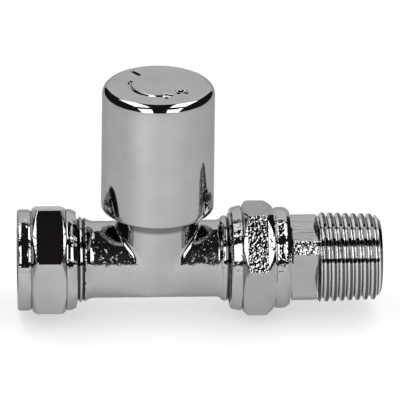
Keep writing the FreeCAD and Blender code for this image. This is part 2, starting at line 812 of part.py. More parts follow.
def build_carrier_screw():
    body = new_body("carrier_screw", x="spindle_offset", z="screw_place")
    head = "carrier_screw_head_dia / 2"
    shank = "carrier_screw_dia / 2"
    spin(body, "turned", (
        ("0", "-carrier_screw_length"),
        (f"{shank} - edge_chamfer", "-carrier_screw_length"),
        (shank, "edge_chamfer - carrier_screw_length"),
        (shank, "0"),
        (head, "0"),
        (head, "carrier_screw_head_height - edge_chamfer"),
        (f"{head} - edge_chamfer", "carrier_screw_head_height"),
        ("0", "carrier_screw_head_height"),
    ))
    cut_slot(body, head, "carrier_screw_head_height - slot_depth")
    return body


def build_cap_shell():
    body = new_body("cap_shell", x="spindle_offset", z="cap_place")
    ceiling = "cap_height - cap_top_thickness"
    ledge = "carrier_top - (cap_place)"
    spin(body, "section", (
        ("cap_bore", "0"),
        ("cap_dia / 2 - cap_rim_chamfer", "0"),
        ("cap_dia / 2", "cap_rim_chamfer"),
        ("cap_top_dia / 2", "cap_height"),
        ("0", "cap_height"),
        ("0", ceiling),
        ("cap_bore - cap_ledge_width", ceiling),
        ("cap_bore - cap_ledge_width", ledge),
        ("cap_bore", ledge),
    ))
    round_edges(body, "top_round", "cap_round", lambda edge: is_end_circle(body, edge, top=True))
    return body


pieces = [
    build_valve_body(),
    build_compression_nut(),
    build_olive(),
    build_union_nut(),
    build_union_seal(),
    build_tail(),
    ring(
        "bonnet_washer", "bonnet_bore", "neck_dia / 2 - bonnet_washer_margin", "bonnet_washer_thickness",
        x="spindle_offset", z="neck_height",
    ),
    build_bonnet(),
    build_spindle_ring(),
    ring(
        "gland_packing", "spindle_radius + running_clearance", "box_radius - running_clearance",
        "packing_height", x="spindle_offset", z="packing_place",
    ),
    ring(
        "gland_follower", "spindle_bore", "box_radius - thread_clearance", "follower_height",
        x="spindle_offset", z="follower_place",
    ),
    build_gland_nut(),
    build_jumper(),
    ring(
        "seat_washer", "washer_screw_dia / 2 + spindle_clearance", "jumper_cup - seat_washer_clearance",
        "seat_washer_thickness", x="spindle_offset", z="seat_height",
    ),
    build_washer_screw(),
    build_spindle(),
    build_carrier(),
    ring(
        "screw_washer", "carrier_screw_hole", "screw_washer_dia / 2", "screw_washer_thickness",
        x="spindle_offset", z="carrier_top",
    ),
    build_carrier_screw(),
    build_cap_shell(),
]
doc.recompute()

for item in doc.Objects:
    if "Invalid" in item.State or "Error" in item.State:
        raise ValueError(f"{item.Name} did not recompute: {item.State}")
for piece in pieces:
    if piece.Shape.isNull() or not piece.Shape.isValid() or len(piece.Shape.Solids) != 1:
        raise ValueError(f"{piece.Label} is not one sound solid")

os.makedirs("parts", exist_ok=True)
for piece in pieces:
    piece.Shape.exportStep(f"parts/{piece.Label}.step")
    print(f"{piece.Label}: {piece.Shape.Volume:.1f} mm3")
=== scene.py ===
"""Looks of a chrome-plated straight manual radiator valve.

The five plated pieces that show are built here as fine meshes in place of their CAD nodes:
a rough-cast body, two hexagon nuts, a threaded tail and a round cap with engraved signs.
The parts inside keep their CAD meshes and get materials of their own.
Mesh sizes are in millimetres in the frame of the part; objects are in metres.
"""
import json
import math

import bpy
import numpy as np
from mathutils import Matrix, Vector, noise


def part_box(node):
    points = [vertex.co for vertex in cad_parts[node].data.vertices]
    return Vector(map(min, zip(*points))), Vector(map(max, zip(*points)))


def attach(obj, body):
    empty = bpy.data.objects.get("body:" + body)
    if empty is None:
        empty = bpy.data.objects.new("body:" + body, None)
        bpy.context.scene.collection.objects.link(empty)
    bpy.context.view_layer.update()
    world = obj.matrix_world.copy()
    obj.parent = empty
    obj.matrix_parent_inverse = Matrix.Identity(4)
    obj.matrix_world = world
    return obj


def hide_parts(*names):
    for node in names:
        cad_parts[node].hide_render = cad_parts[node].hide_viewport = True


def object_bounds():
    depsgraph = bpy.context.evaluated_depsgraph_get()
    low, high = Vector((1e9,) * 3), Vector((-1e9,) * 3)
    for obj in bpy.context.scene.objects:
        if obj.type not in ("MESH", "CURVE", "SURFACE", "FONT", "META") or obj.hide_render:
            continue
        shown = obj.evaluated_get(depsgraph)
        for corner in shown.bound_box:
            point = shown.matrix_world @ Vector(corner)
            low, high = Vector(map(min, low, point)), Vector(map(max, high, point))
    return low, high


MM = 0.001
TURN = 2 * math.pi

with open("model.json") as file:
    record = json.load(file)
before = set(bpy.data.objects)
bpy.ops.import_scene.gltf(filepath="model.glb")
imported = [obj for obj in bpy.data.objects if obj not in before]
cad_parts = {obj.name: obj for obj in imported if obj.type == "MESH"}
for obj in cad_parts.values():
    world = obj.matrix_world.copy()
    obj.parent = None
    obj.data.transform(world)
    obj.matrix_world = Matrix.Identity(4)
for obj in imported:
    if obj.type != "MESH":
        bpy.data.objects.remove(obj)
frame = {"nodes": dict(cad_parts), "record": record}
cad_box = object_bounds()


def node_span(node):
    """The lowest and highest corner of a CAD node, in millimetres."""
    low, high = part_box(node)
    return np.array(low) / MM, np.array(high) / MM


# Places that the frame gives.
BODY_LOW, BODY_HIGH = node_span("valve_body")
PIPE_NUT_LOW, PIPE_NUT_HIGH = node_span("compression_nut")
UNION_NUT_LOW, UNION_NUT_HIGH = node_span("union_nut")
TAIL_LOW, TAIL_HIGH = node_span("tail")
CAP_LOW, CAP_HIGH = node_span("cap_shell")
SPINDLE_X = (CAP_LOW[0] + CAP_HIGH[0]) / 2

# How fine the meshes are.
BREAK_GAP = 0.03
SHARP_DEGREES = 38.0
THREADED_SHARP_DEGREES = 50.0
NUT_ANGLES = 360
NUT_STEP = 0.14
NUT_BORE_STEP = 0.2
TAIL_ANGLES = 240
TAIL_STEP = 0.2
TAIL_ROWS_PER_PITCH = 36
TAIL_ROWS_GAP = 0.05
BODY_STEP = 0.3
BODY_END_ANGLES = 192
BODY_END_ROWS_PER_PITCH = 24
BODY_END_BORE_ROWS = 8
CAP_ANGLES = 480
CAP_WALL_ROWS = 30
CAP_ROUND_ROWS = 17
CAP_SIGN_ROWS = 88

# Threads; a share of the way from crest to groove is 0 on the crest and 1 at the bottom of the groove.
PITCH = 1.814
THREAD_DEPTH = 0.9
THREAD_CREST_SHARE = 0.38
THREAD_CREST_DROP = 0.02
THREAD_FLANK_SHARE = 0.88
THREAD_FLANK_DROP = 0.948
# Painted dark reflection on thread crests and painted shade in thread roots.
CREST_PAINTED_DARK = 0.84
CREST_PAINTED_DARK_EDGE = (0.32, 0.41)
ROOT_PAINTED_SHADE_EDGE = (0.85, 0.93)
# Where the painted highlight on thread flanks starts and ends.
FLANK_HIGHLIGHT_TOP_EDGE = (0.35, 0.41)
FLANK_HIGHLIGHT_FOOT_EDGE = (0.86, 0.94)
LEAD_BLEND = 0.3

# Cast body, outside.
TUBE_RADIUS = 8.9
COLLAR_RADIUS = 9.9
COLLAR_EDGE = 0.15
COLLAR_CROWN = 0.08
COLLAR_VALLEY = 9.4
# Radii below which the body's collar valleys and thread roots get painted shade.
COLLAR_PAINTED_SHADE_EDGE = (9.6, 9.4)
INLET_THREAD_END = -4.5
INLET_CAST_START = -2.8
INLET_FLARE_END = -0.3
OUTLET_FLARE_START = 27.7
OUTLET_CAST_END = 29.0
OUTLET_THREAD_START = 30.3
BODY_THREAD_RADIUS = 10.36
BODY_LEAD_DROP = 0.9
BODY_LEAD_SLOPE = 1.1
NECK_ROOT = -2.0
NECK_OUTLINE = [(NECK_ROOT, 8.3), (0.0, 8.85), (3.5, 9.3)]
SADDLE_BLEND = 0.8
INLET_COLLAR = [
    (INLET_THREAD_END, COLLAR_VALLEY), (-4.05, COLLAR_VALLEY),
    (-3.98, COLLAR_RADIUS - COLLAR_CROWN), (-3.7, COLLAR_RADIUS), (-3.42, COLLAR_RADIUS - COLLAR_CROWN),
    (-3.35, COLLAR_VALLEY), (-2.95, COLLAR_VALLEY), (INLET_CAST_START, COLLAR_RADIUS - COLLAR_EDGE),
]
OUTLET_COLLAR = [
    (OUTLET_CAST_END, COLLAR_RADIUS - COLLAR_EDGE), (29.4, COLLAR_RADIUS), (29.7, COLLAR_RADIUS),
    (30.0, COLLAR_RADIUS - COLLAR_EDGE), (30.1, COLLAR_VALLEY), (OUTLET_THREAD_START, COLLAR_VALLEY),
]

# Cast body, bores.
PIPE_BORE = 7.6
PIPE_STOP = 0.0
OLIVE_CONE_RADIUS = 8.7
OLIVE_CONE_LENGTH = 3.6
PASSAGE_RADIUS = 4.6
INLET_PASSAGE_DROP = 2.6
INLET_PASSAGE_END = 18.5
OUTLET_PASSAGE_RISE = 1.5
OUTLET_PASSAGE_START = 20.0
OUTLET_BORE_START = 25.9
WATERWAY_RADIUS = 6.2
SEAT_BORE = 4.0
SEAT_HEIGHT = 3.2
CHAMBER_RADIUS = 7.1
CHAMBER_TOP = 12.2
BONNET_BORE = 7.5
BORE_OVERLAP = 1.0

# Cast skin of the tube; each edge is where the skin fades in or out.
OUTSIDE_EDGE = (0.05, 0.2)
CAST_INLET_EDGE = (-1.5, -0.7)
CAST_OUTLET_EDGE = (27.7, 28.7)
CAST_NECK_EDGE = (0.3, 1.2)
CAST_FINE_EDGE = (3.5, 6.5)
CAST_FINE_SHARE = 0.3
LUMP_SIZE = 3.0
LUMP_HEIGHT = 0.05
SMALL_LUMP_SIZE = 1.2
SMALL_LUMP_HEIGHT = 0.014
SMALL_LUMP_SHIFT = 50.0
# Painted shade at the top of the neck, under the cap's rim.
SPIGOT_PAINTED_SHADE = 0.69
SPIGOT_PAINTED_SHADE_EDGE = (10.1, 10.9)

# Nuts, measured from each nut's own left end.
NUT_FLATS = 24.0
NUT_BORE = 10.5
NUT_THREAD_DEPTH = 0.3
NUT_THREAD_FADE = 0.3
FLAT_END_SLOPE = 0.25
FLAT_MARGIN = 0.05
BEVEL_BLEND = 0.3
FLAT_PITS = 0.25
COLLAR_PITS = 0.8
PIPE_NUT_COLLAR = 11.7
PIPE_NUT_TURN = math.radians(9.0)
PIPE_NUT_HOLE = 7.75
UNION_FRONT_COLLAR = 12.1
UNION_BACK_COLLAR = 11.7
UNION_NUT_TURN = math.radians(20.0)
UNION_NUT_HOLE = 8.5

# Tail, measured from its own left end.
TAIL_FLANGE_RADIUS = 9.8
TAIL_NECK_RADIUS = 8.35
TAIL_SLEEVE_RADIUS = 9.25
TAIL_FRONT_BREAKS = [0.1, 2.03, 4.43]
TAIL_FLATS = 16.2
TAIL_CORNER_RADIUS = 9.95
TAIL_CORNER_BLEND = 0.08
TAIL_CORNER_MARGIN = 0.06
TAIL_TURN = math.radians(8.1)
TAIL_SQUARE_START = 4.8
TAIL_SQUARE_END = 10.5
TAIL_SHOULDER_START = 9.9
TAIL_SHOULDER_LENGTH = 1.5
TAIL_RUN_OUT = (9.8, 10.4)
TAIL_UNCUT_HEIGHT = 3.0
TAIL_THREAD_BLEND = 0.12
TAIL_THREAD_ROOT_RADIUS = 10.42
TAIL_THREAD_TIP_RADIUS = 9.9
TAIL_FIRST_CREST = 50.6
TAIL_LEAD_DROP = 1.5
TAIL_LEAD_SLOPE = 1.2
TAIL_MOUTH_LENGTH = 0.4
TAIL_FRONT_MOUTH = 6.4
TAIL_BACK_MOUTH = 6.5

# Cap.
CAP_RADIUS = 13.0
CAP_TOP_RADIUS = 12.85
CAP_ROUND = 2.2
CAP_RIM_HEIGHT = 0.55
CAP_BORE = 11.4
CAP_LEDGE_BORE = 10.4
CAP_LEDGE = 38.0
CAP_CEILING = 41.7
CAP_CENTRE = 0.06

# Signs on the cap, in millimetres and in degrees about the spindle.
SIGN_DEPTH = 0.5
SIGN_INNER_RADIUS = 4.0
STROKE_EDGE = (0.14, 0.54)
ARC_RADIUS = 6.6
ARC_START = 160.0
ARC_END = 292.0
ARROW_BARBS = [(7.9, 281.0), (5.4, 279.0)]
PLUS_RADIUS = 6.5
PLUS_PLACE = -39.0
PLUS_ARM = 1.25
MINUS_PLACE = 126.0
MINUS_SPAN = (7.2, 9.8)

# Plating; scales are per metre and depths in metres.
PLATE_DARK = (0.475, 0.475, 0.478)
PLATE_LIGHT = (0.525, 0.523, 0.518)
# Near-white plating on thread flanks: a painted highlight.
FLANK_HIGHLIGHT_COLOUR = (0.95, 0.95, 0.945)
# Near-black plating for painted shade and painted dark reflections.
PAINTED_SHADE_COLOUR = (0.05, 0.05, 0.052)
GLANCING_TINT = (0.7, 0.7, 0.7, 1.0)
SMUDGE_SCALE = 140.0
GLOSS_SCALE = 420.0
GLOSS_SPAN = (0.03, 0.075)
CAST_ROUGHNESS = 0.13
PEBBLE_SCALE = 1350.0
PEBBLE_DEPTH = 0.00011
CAST_PEBBLE_DEPTH = 0.000014
PIT_SCALE = 950.0
PIT_EDGE = (0.56, 0.72)
PIT_DEPTH = 0.00005
SPECK_SCALE = 1700.0
SPECK_EDGE = (0.66, 0.75)
SPECK_DEPTH = 0.00005
MILLING_SCALE = 1300.0
MILLING_STRETCH = (0.04, 1.0, 1.0)
MILLING_DEPTH = 0.00009
LATHE_SCALE = 20000.0
LATHE_STRETCH = (1.0, 0.0, 0.0)
LATHE_DEPTH = 0.000005
RIPPLE_SCALE = 230.0
RIPPLE_DEPTH = 0.000012
NOISE_EDGE = (0.3, 0.7)

# Camera, matched to the photograph's outline.
IMAGE_PIXELS = 400
SENSOR_WIDTH = 36.0
CAMERA_AZIMUTH = math.radians(-3.5)
CAMERA_ELEVATION = math.radians(24.6)
CAMERA_ROLL = math.radians(0.9)
CAMERA_DISTANCE = 1.0
CAMERA_TARGET = Vector((0.0238, 0.0, 0.0148))
PIXELS_PER_METRE = 4352.0


# Meshes


def smooth_min(first, second, blend):
    """The smaller of two values, rounded where they are closer than blend."""
    share = np.clip(0.5 + 0.5 * (second - first) / blend, 0.0, 1.0)
    return second + (first - second) * share - blend * share * (1.0 - share)


def smooth_step(low, high, value):
    """A soft step from 0 at low to 1 at high."""
    share = np.clip((value - low) / (high - low), 0.0, 1.0)
    return share * share * (3.0 - 2.0 * share)


def ring_faces(rings, around, closed):
    """Quads between neighbouring rings of points; closed joins the last ring to the first."""
    index = np.arange(rings * around).reshape(rings, around)
    here = index if closed else index[:-1]
    ahead = np.roll(index, -1, axis=0) if closed else index[1:]
    quads = np.stack([here, np.roll(here, -1, axis=1), np.roll(ahead, -1, axis=1), ahead], axis=-1)
    return quads.reshape(-1, 4).tolist()


def make_piece(name, points, faces, body, node, sharp_degrees=SHARP_DEGREES, **surface):
    """A plated object from points in millimetres; surface gives values per point for the material."""
    mesh = bpy.data.meshes.new(name)
    mesh.from_pydata((points * MM).tolist(), [], faces)
    mesh.polygons.foreach_set("use_smooth", np.ones(len(faces), dtype=bool))
    mesh.set_sharp_from_angle(angle=math.radians(sharp_degrees))
    for attribute, values in surface.items():
        data = mesh.attributes.new(attribute, "FLOAT", "POINT").data
        data.foreach_set("value", np.ravel(values).astype(np.float32))
    mesh.materials.append(chrome)
    piece = bpy.data.objects.new(name, mesh)
    bpy.context.scene.collection.objects.link(piece)
    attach(piece, body)
    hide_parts(node)


def stations(low, high, step, breaks):
    """Places from low to high at about a step, with a close pair at each break."""
    even = np.linspace(low, high, int(round((high - low) / step)) + 1)
    pairs = [place + side for place in breaks for side in (-BREAK_GAP, BREAK_GAP)]
    places = np.unique(np.round(np.concatenate([even, pairs]), decimals=4))
    return places[(places >= low) & (places <= high)]


def round_about(count):
    """Angles of a full turn in even steps."""
    return np.arange(count) * TURN / count


def rings_along_x(x, radius, angles):
    """Points of rings about the X axis."""
    across = np.broadcast_to(x[:, None], radius.shape)
    return np.stack([across, radius * np.cos(angles), radius * np.sin(angles)], axis=-1)


def outline_radius(x, corners):
    """Radius at each place of a turned outline given as (place, radius) corners."""
    places, radii = zip(*corners)
    return np.interp(x, places, radii)


def polygon_radius(angles, sides, flats, turn):
    """Distance from the axis to a polygon with slightly rounded corners; one of its flats faces turn."""
    sharpness = 70
    facing = np.stack([np.cos(angles - turn - side * TURN / sides) for side in range(sides)])
    return flats / 2 / np.sum(np.clip(facing, 0, None) ** sharpness, axis=0) ** (1 / sharpness)


def bevel_radius(along, depth):
    """The cone that turns a nut's corners off, at a distance along from the hexagon's end."""
    corner_share = 2 / math.sqrt(3) - 1
    return NUT_FLATS / 2 * (1 + corner_share * along / depth)


def bevelled_hexagon(x, angles, hexagon):
    """Radius of a hexagon whose flats slope off at both ends, under its corner bevels; 0 beyond its ends."""
    along = x[:, None]
    flats = polygon_radius(angles, 6, NUT_FLATS, hexagon["turn"])
    radius = np.broadcast_to(flats, (len(x), len(angles)))
    from_ends = (along - hexagon["start"], hexagon["end"] - along)
    for from_end, bevel, sloped in zip(from_ends, hexagon["bevels"], hexagon["slopes"]):
        radius = radius - FLAT_END_SLOPE * np.clip(sloped - from_end, 0.0, None)
        radius = smooth_min(radius, bevel_radius(from_end, bevel), BEVEL_BLEND)
    return np.where((along > hexagon["start"]) & (along < hexagon["end"]), radius, 0.0)


def off_crest(x, angles, crest):
    """How far a place on a right-hand thread lies from its crest: 0 there, 1 at the thread's root."""
    turns = (x[:, None] - crest) / PITCH - (angles[None, :] - TURN / 4) / TURN
    return np.abs(turns - np.round(turns)) * 2


def thread_drop(off):
    """Depth below the crest as a share: a worn crest, straight flanks and a narrow root."""
    crest = (THREAD_CREST_SHARE, THREAD_CREST_DROP)
    flank = (THREAD_FLANK_SHARE, THREAD_FLANK_DROP)
    return outline_radius(off, [(0.0, 0.0), crest, flank, (1.0, 1.0)])


def thread_painted_shade(off):
    """Painted shade on a thread: crests darkened as a painted dark reflection, flanks left bright and roots
    painted black as shade.
    """
    crest = CREST_PAINTED_DARK * (1 - smooth_step(*CREST_PAINTED_DARK_EDGE, off))
    return crest + smooth_step(*ROOT_PAINTED_SHADE_EDGE, off)


def flank_highlight_share(off):
    """Where the painted highlight on the flanks of a thread lies, from 0 to 1."""
    return smooth_step(*FLANK_HIGHLIGHT_TOP_EDGE, off) * (1 - smooth_step(*FLANK_HIGHLIGHT_FOOT_EDGE, off))


def build_nut(name, body, node, left, outer, bore, thread, hexagon, flat_pebbles, collar_pebbles):
    """A nut about the X axis: turned collars, a bevelled hexagon and a bore with a fine thread."""
    angles = round_about(NUT_ANGLES)
    length = outer[-1][0]
    start = hexagon["start"]
    end = hexagon["end"]
    x_out = stations(0.0, length, NUT_STEP, [start, end])
    along = x_out[:, None]
    turned = outline_radius(x_out, outer)[:, None]
    hexed = bevelled_hexagon(x_out, angles, hexagon)
    radius = np.maximum(turned, hexed)
    front_slope, back_slope = hexagon["slopes"]
    sloped = (along < start + front_slope) | (along > end - back_slope)
    on_flats = (hexed > turned + FLAT_MARGIN) & ~sloped
    pebbles = flat_pebbles * on_flats + collar_pebbles * (along > end)
    pits = np.where(hexed > turned, FLAT_PITS, COLLAR_PITS)
    x_in = stations(0.0, length, NUT_BORE_STEP, [place for place, _ in bore[1:-1]])[::-1]
    thread_start, thread_end = thread
    in_thread = smooth_step(thread_start, thread_start + NUT_THREAD_FADE, x_in)
    in_thread *= 1 - smooth_step(thread_end - NUT_THREAD_FADE, thread_end, x_in)
    grooves = NUT_THREAD_DEPTH * thread_drop(off_crest(x_in + left, angles, 0.0))
    inner = outline_radius(x_in, bore)[:, None] + grooves * in_thread[:, None]
    points = np.concatenate([rings_along_x(x_out, radius, angles), rings_along_x(x_in, inner, angles)])
    points = points.reshape(-1, 3)
    points[:, 0] += left
    faces = ring_faces(len(x_out) + len(x_in), len(angles), closed=True)
    blank = np.zeros(inner.shape)
    make_piece(
        name, points, faces, body, node,
        pebbles=np.concatenate([pebbles, blank]),
        pits=np.concatenate([pits, blank]),
    )


def build_pipe_nut():
    """The compression nut: a collar on each side of its hexagon and a cone inside for the olive."""
    collar = PIPE_NUT_COLLAR
    length = PIPE_NUT_HIGH[0] - PIPE_NUT_LOW[0]
    outer = [
        (0.0, collar - 0.35), (0.15, collar - 0.14), (0.7, collar), (2.4, collar), (2.95, collar - 0.14),
        (3.2, collar - 0.35), (11.1, collar - 0.3), (11.2, collar - 0.06), (11.3, collar), (12.0, collar),
        (12.15, collar - 0.02), (12.65, collar - 0.14), (length, collar - 0.6),
    ]
    bore = [
        (0.0, PIPE_NUT_HOLE), (1.4, PIPE_NUT_HOLE), (4.2, OLIVE_CONE_RADIUS),
        (4.3, NUT_BORE), (length, NUT_BORE),
    ]
    hexagon = {"start": 3.4, "end": 11.1, "turn": PIPE_NUT_TURN, "bevels": (1.1, 1.1), "slopes": (0.8, 0.7)}
    build_nut(
        "pipe_nut_hexagon", "pipe_nut", "compression_nut", PIPE_NUT_LOW[0], outer, bore,
        thread=(4.6, length), hexagon=hexagon, flat_pebbles=0.05, collar_pebbles=0.0,
    )


def build_union_nut():
    """The union nut: a wide front collar, a pebbled hexagon and a back collar that holds the tail."""
    front = UNION_FRONT_COLLAR
    back = UNION_BACK_COLLAR
    length = UNION_NUT_HIGH[0] - UNION_NUT_LOW[0]
    outer = [
        (0.0, front - 0.8), (0.35, front - 0.4), (2.2, front + 0.1), (2.5, front), (2.7, front - 0.4),
        (9.8, back - 0.3), (10.25, back - 0.28), (10.4, back - 0.13), (10.95, back),
        (length - 1.4, back), (length - 0.85, back - 0.13), (length, back - 0.8),
    ]
    bore = [(0.0, NUT_BORE), (11.4, NUT_BORE), (11.5, UNION_NUT_HOLE), (length, UNION_NUT_HOLE)]
    hexagon = {"start": 2.8, "end": 9.9, "turn": UNION_NUT_TURN, "bevels": (1.2, 1.8), "slopes": (0.9, 1.6)}
    build_nut(
        "union_nut_hexagon", "union_swivel", "union_nut", UNION_NUT_LOW[0], outer, bore,
        thread=(0.0, 10.5), hexagon=hexagon, flat_pebbles=0.85, collar_pebbles=0.18,
    )


def build_tail():
    """The tail: a flanged neck, a square with turned corners, a taper thread and a straight bore."""
    angles = round_about(TAIL_ANGLES)
    length = TAIL_HIGH[0] - TAIL_LOW[0]
    front = [
        (0.0, TAIL_FLANGE_RADIUS - 0.2), (0.2, TAIL_FLANGE_RADIUS), (2.0, TAIL_FLANGE_RADIUS),
        (2.05, TAIL_NECK_RADIUS), (4.4, TAIL_NECK_RADIUS),
        (4.45, TAIL_SLEEVE_RADIUS), (TAIL_SQUARE_START, TAIL_SLEEVE_RADIUS),
    ]
    x_out = np.concatenate([
        stations(0.0, TAIL_SHOULDER_START, TAIL_STEP, [*TAIL_FRONT_BREAKS, TAIL_SQUARE_START]),
        np.arange(TAIL_SHOULDER_START + TAIL_ROWS_GAP, length, PITCH / TAIL_ROWS_PER_PITCH),
        [length],
    ])
    along = x_out[:, None]
    square = polygon_radius(angles, 4, TAIL_FLATS, TAIL_TURN)
    square = smooth_min(square, TAIL_CORNER_RADIUS, TAIL_CORNER_BLEND)
    rise = (TAIL_THREAD_ROOT_RADIUS - TAIL_FLATS / 2) / TAIL_SHOULDER_LENGTH
    shoulder = TAIL_FLATS / 2 + rise * (along - TAIL_SHOULDER_START)
    shank = np.maximum(square[None, :], shoulder)
    taper = [(TAIL_SHOULDER_START, TAIL_THREAD_ROOT_RADIUS), (length, TAIL_THREAD_TIP_RADIUS)]
    off = off_crest(x_out, angles, TAIL_FIRST_CREST - TAIL_LOW[0])
    uncut = TAIL_UNCUT_HEIGHT * (1 - smooth_step(*TAIL_RUN_OUT, along))
    thread = outline_radius(x_out, taper)[:, None] - THREAD_DEPTH * thread_drop(off) + uncut
    lead = TAIL_THREAD_TIP_RADIUS - TAIL_LEAD_DROP + TAIL_LEAD_SLOPE * (length - along)
    threaded = smooth_min(smooth_min(shank, thread, TAIL_THREAD_BLEND), lead, LEAD_BLEND)
    in_front = along < TAIL_SQUARE_START
    radius = np.where(in_front, outline_radius(x_out, front)[:, None], threaded)
    x_in = np.array([length, length - TAIL_MOUTH_LENGTH, TAIL_MOUTH_LENGTH, 0.0])
    bore = np.array([TAIL_BACK_MOUTH, WATERWAY_RADIUS, WATERWAY_RADIUS, TAIL_FRONT_MOUTH])
    inner = np.repeat(bore[:, None], len(angles), axis=1)
    points = np.concatenate([rings_along_x(x_out, radius, angles), rings_along_x(x_in, inner, angles)])
    points = points.reshape(-1, 3)
    points[:, 0] += TAIL_LOW[0]
    faces = ring_faces(len(x_out) + len(x_in), len(angles), closed=True)
    on_square = ~in_front & (along < TAIL_SQUARE_END)
    on_corner = on_square & (square > TAIL_CORNER_RADIUS - TAIL_CORNER_MARGIN)
    on_thread = ~(on_square | in_front)
    blank = np.zeros(inner.shape)
    make_piece(
        "threaded_tail", points, faces, "tail_assembly", "tail", THREADED_SHARP_DEGREES,
        pebbles=np.concatenate([on_corner, blank]),
        milled=np.concatenate([on_square & ~on_corner, blank]),
        # Painted shade on the thread: crests darkened as a painted dark reflection, roots painted black.
        groove=np.concatenate([on_thread * thread_painted_shade(off), blank]),
        # The turned values give lathe lines and a painted highlight on the thread's flanks.
        turned=np.concatenate([on_thread * flank_highlight_share(off), blank]),
    )


def segment_distance(points, start, end):
    """Distance of points in the plane from a straight stroke."""
    reach = np.subtract(end, start)
    share = np.clip(((points - start) @ reach) / (reach @ reach), 0.0, 1.0)
    return np.linalg.norm(points - start - share[..., None] * reach, axis=-1)


def polar(radius, degrees):
    """A point in the plane from its distance and direction."""
    angle = math.radians(degrees)
    return np.array([radius * math.cos(angle), radius * math.sin(angle)])


def sign_depth(points):
    """Depth of the signs on the cap's top: a minus, a plus and the arrow from one to the other."""
    plus = polar(PLUS_RADIUS, PLUS_PLACE)
    along = polar(PLUS_ARM, PLUS_PLACE)
    across = polar(PLUS_ARM, PLUS_PLACE + 90)
    tip = polar(ARC_RADIUS, ARC_END)
    minus_start, minus_end = MINUS_SPAN
    strokes = [
        (polar(minus_start, MINUS_PLACE), polar(minus_end, MINUS_PLACE)),
        (plus - along, plus + along),
        (plus - across, plus + across),
    ]
    strokes += [(tip, polar(radius, degrees)) for radius, degrees in ARROW_BARBS]
    distance = np.min([segment_distance(points, start, end) for start, end in strokes], axis=0)
    radius = np.linalg.norm(points, axis=-1)
    angle = np.degrees(np.arctan2(points[..., 1], points[..., 0])) % 360
    on_arc = (angle > ARC_START) & (angle < ARC_END)
    distance = np.where(on_arc, np.minimum(distance, np.abs(radius - ARC_RADIUS)), distance)
    return SIGN_DEPTH * (1 - smooth_step(*STROKE_EDGE, distance))


def build_cap():
    """The cap: a slightly tapered cup with a rounded top edge and engraved signs."""
    angles = round_about(CAP_ANGLES)
    count = len(angles)
    floor = CAP_LOW[2]
    top = CAP_HIGH[2]
    inside = [
        (CAP_CEILING, CAP_CENTRE), (CAP_CEILING, CAP_LEDGE_BORE - 0.3), (CAP_CEILING - 0.3, CAP_LEDGE_BORE),
        (CAP_LEDGE, CAP_LEDGE_BORE), (CAP_LEDGE, CAP_BORE), (floor + 1.0, CAP_BORE),
    ]
    rim = [
        (floor + 0.25, CAP_BORE), (floor + 0.06, CAP_BORE + 0.1), (floor, CAP_BORE + 0.3),
        (floor, CAP_RADIUS - 0.5), (floor + 0.07, CAP_RADIUS - 0.28), (floor + 0.3, CAP_RADIUS - 0.06),
    ]
    round_start = top - CAP_ROUND
    wall_heights = np.linspace(floor + CAP_RIM_HEIGHT, round_start, CAP_WALL_ROWS)
    wall_radii = np.interp(wall_heights, (floor, top), (CAP_RADIUS, CAP_TOP_RADIUS))
    wall = list(zip(wall_heights, wall_radii))
    flat_radius = CAP_TOP_RADIUS - CAP_ROUND
    bend = [
        (round_start + CAP_ROUND * math.sin(turn), flat_radius + CAP_ROUND * math.cos(turn))
        for turn in np.linspace(0, TURN / 4, CAP_ROUND_ROWS)[1:]
    ]
    sign_rings = np.linspace(flat_radius - 0.1, SIGN_INNER_RADIUS, CAP_SIGN_ROWS)
    flat = [(top, radius) for radius in [*sign_rings, 3.0, 2.0, 1.0, CAP_CENTRE]]
    height, radius = np.array(inside + rim + wall + bend + flat).T
    plane = radius[:, None, None] * np.stack([np.cos(angles), np.sin(angles)], axis=-1)
    level = np.repeat(height[:, None], count, axis=1)
    tolerance = 0.001
    on_top = (level > top - tolerance) & (radius[:, None] < flat_radius)
    level = np.where(on_top, level - sign_depth(plane), level)
    points = np.concatenate([plane + (SPINDLE_X, 0.0), level[..., None]], axis=-1).reshape(-1, 3)
    faces = ring_faces(len(height), count, closed=False)
    faces.append(list(range(count))[::-1])
    faces.append(list(range(len(points) - count, len(points))))
    make_piece("lift_cap", points, faces, "handwheel", "cap_shell")


def tube_distance(points):
    """Rough distance from the outside of the tube with its flared ends."""
    x = points[..., 0]
    up_inlet = np.clip((INLET_FLARE_END - x) / (INLET_FLARE_END - INLET_CAST_START), 0.0, None)
    up_outlet = np.clip((x - OUTLET_FLARE_START) / (OUTLET_CAST_END - OUTLET_FLARE_START), 0.0, None)
    flare = (COLLAR_RADIUS - COLLAR_EDGE - TUBE_RADIUS) * (up_inlet ** 2 + up_outlet ** 2)
    return np.hypot(points[..., 1], points[..., 2]) - TUBE_RADIUS - flare


def neck_distance(points):
    """Rough distance from the outside of the neck, which narrows to the tube's width at its root."""
    height = points[..., 2]
    side = np.hypot(points[..., 0] - SPINDLE_X, points[..., 1]) - outline_radius(height, NECK_OUTLINE)
    return np.maximum(np.maximum(side, height - BODY_HIGH[2]), NECK_ROOT - height)


def outside_distance(points):
    """Rough distance from the outside of the tube and neck, which run into each other."""
    return smooth_min(tube_distance(points), neck_distance(points), SADDLE_BLEND)


def bore_distance(points, radius, low, high, axis, centre):
    """Distance from a straight round bore between two places along the X axis (0) or the Z axis (2)."""
    across = [index for index in range(3) if index != axis]
    offset = points[..., across] - np.array(centre)
    along = points[..., axis]
    return np.maximum(np.linalg.norm(offset, axis=-1) - radius, np.maximum(low - along, along - high))


